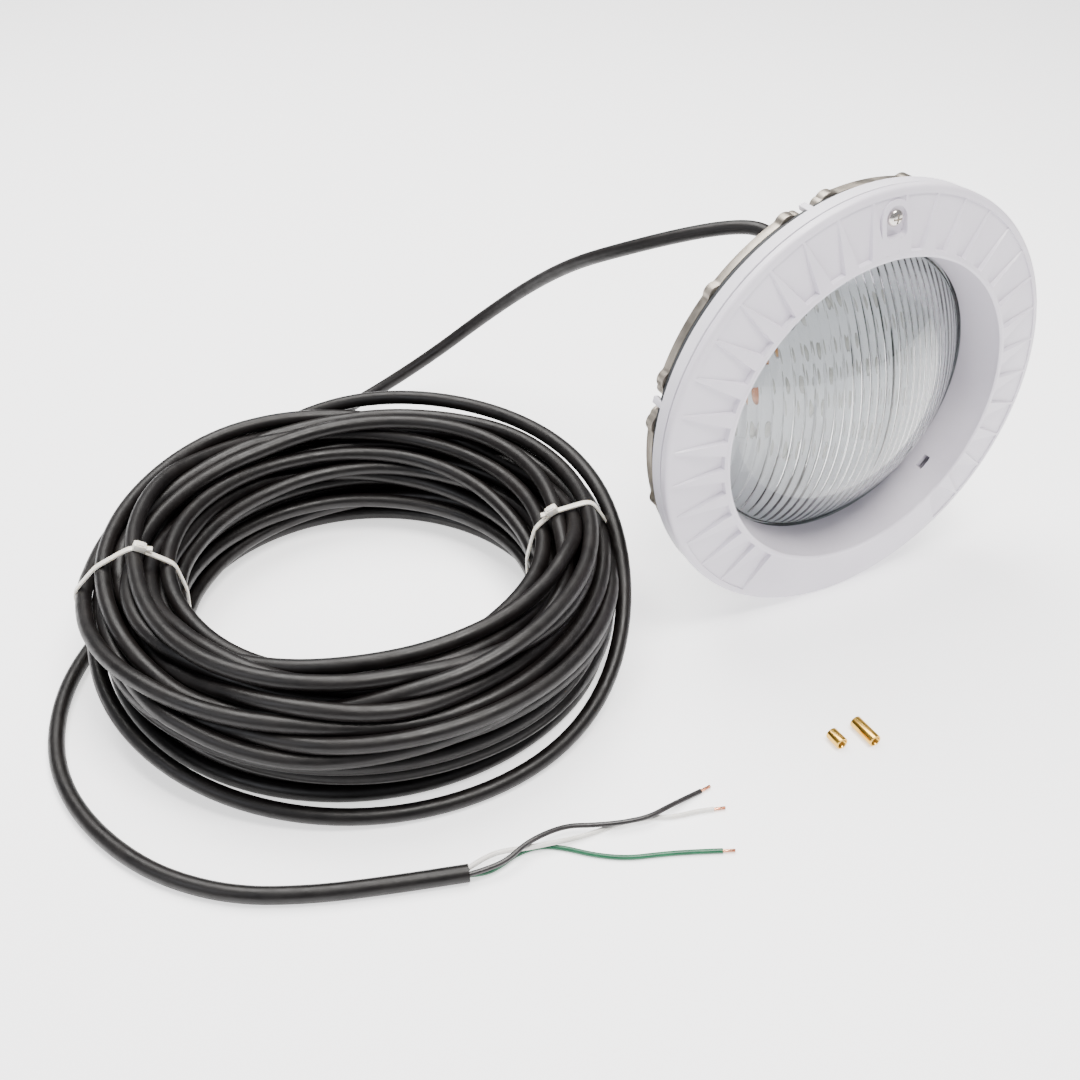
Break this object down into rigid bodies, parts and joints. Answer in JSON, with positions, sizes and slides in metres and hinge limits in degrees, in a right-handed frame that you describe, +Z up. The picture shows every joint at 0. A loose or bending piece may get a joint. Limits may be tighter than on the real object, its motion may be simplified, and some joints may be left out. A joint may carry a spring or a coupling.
{
  "type": "underwater pool light",
  "caption": "Round niche-mounted underwater pool light with a ribbed white face ring, a domed fluted lens, a clamped bowl housing and a long coiled power cord.",
  "frame": {"origin": "on the light's axis, in the plane where the round spigot leaves the housing's flange", "axes": "+Y along the light's axis, into the niche and towards the cord gland; the face looks along -Y; +Z up, towards the pilot screw; +X to the right seen from in front"},
  "size_m": [0.6163, 0.5035, 0.27],
  "materials": {
    "white_abs": "satin moulded",
    "carrier_abs": "satin moulded",
    "clear_lens": "clear moulded, fluted inside",
    "seal_rubber": "matt",
    "dark_housing": "fine grain, glass filled",
    "clamp_steel": "pressed, satin",
    "screw_steel": "bright",
    "retainer_plastic": "moulded nylon",
    "reflector_white": "gloss moulded",
    "board": "white solder resist",
    "led": "phosphor",
    "optic": "clear",
    "heat_sink": "cast, plain",
    "driver_board": "solder resist",
    "standoff_brass": "turned",
    "capacitor": "sleeved can",
    "transformer": "taped winding",
    "terminal": "moulded",
    "gland_brass": "turned, nickel plated",
    "cord_black": "satin extruded",
    "conductor_black": "extruded",
    "conductor_white": "extruded",
    "conductor_green": "extruded",
    "copper": "bare stranded copper",
    "tie_nylon": "natural nylon, translucent",
    "sleeve_brass": "turned brass"
  },
  "bodies": {
    "light": {"face_ring": "white_abs", "carrier_ring": "carrier_abs", "lens": "clear_lens", "lens_gasket": "seal_rubber", "flange_gasket": "seal_rubber", "housing": "dark_housing", "clamp_segment_1": "clamp_steel", "clamp_segment_2": "clamp_steel", "clamp_segment_3": "clamp_steel", "clamp_segment_4": "clamp_steel", "clamp_segment_5": "clamp_steel", "clamp_segment_6": "clamp_steel", "clamp_screws": "screw_steel", "reflector": "reflector_white", "led_board": "board", "led_emitters": "led", "led_optics": "optic", "heat_sink": "heat_sink", "board_screws": "screw_steel", "driver_board": "driver_board", "driver_standoffs": "standoff_brass", "driver_capacitors": "capacitor", "driver_transformer": "transformer", "terminal_block": "terminal", "gland_body": "gland_brass", "gland_seal": "seal_rubber", "gland_nut": "gland_brass", "gland_locknut": "gland_brass", "gland_oring": "seal_rubber", "cable_lead": "cord_black", "cable_coil": "cord_black", "cable_tail": "cord_black", "conductor_green": "conductor_green", "conductor_white": "conductor_white", "conductor_black": "conductor_black", "conductor_strands": "copper", "cable_tie_left": "tie_nylon", "cable_tie_right": "tie_nylon"},
    "pilot_retainer": {"pilot_washer": "retainer_plastic"},
    "pilot_screw": {"pilot_screw": "screw_steel"},
    "long_sleeve": {"sleeve_long": "sleeve_brass"},
    "short_sleeve": {"sleeve_short": "sleeve_brass"}
  },
  "joints": [
    {"name": "pilot_screw_travel", "type": "slide", "parent": "light", "child": "pilot_retainer", "axis": [0, -1, 0], "range_m": [0, 0.007]},
    {"name": "pilot_screw_turn", "type": "hinge", "parent": "pilot_retainer", "child": "pilot_screw", "pos_m": [0, 0, 0.119], "axis": [0, -1, 0], "range_deg": [0, 2381.5]},
    {"name": "long_sleeve_lift", "type": "slide", "parent": "light", "child": "long_sleeve", "axis": [0, 0, 1], "range_m": [0, 0.15]},
    {"name": "short_sleeve_lift", "type": "slide", "parent": "light", "child": "short_sleeve", "axis": [0, 0, 1], "range_m": [0, 0.15]}
  ],
  "couplings": [
    {"joint": "pilot_screw_turn", "follows": "pilot_screw_travel", "rad_per_m": 5936.9}
  ]
}
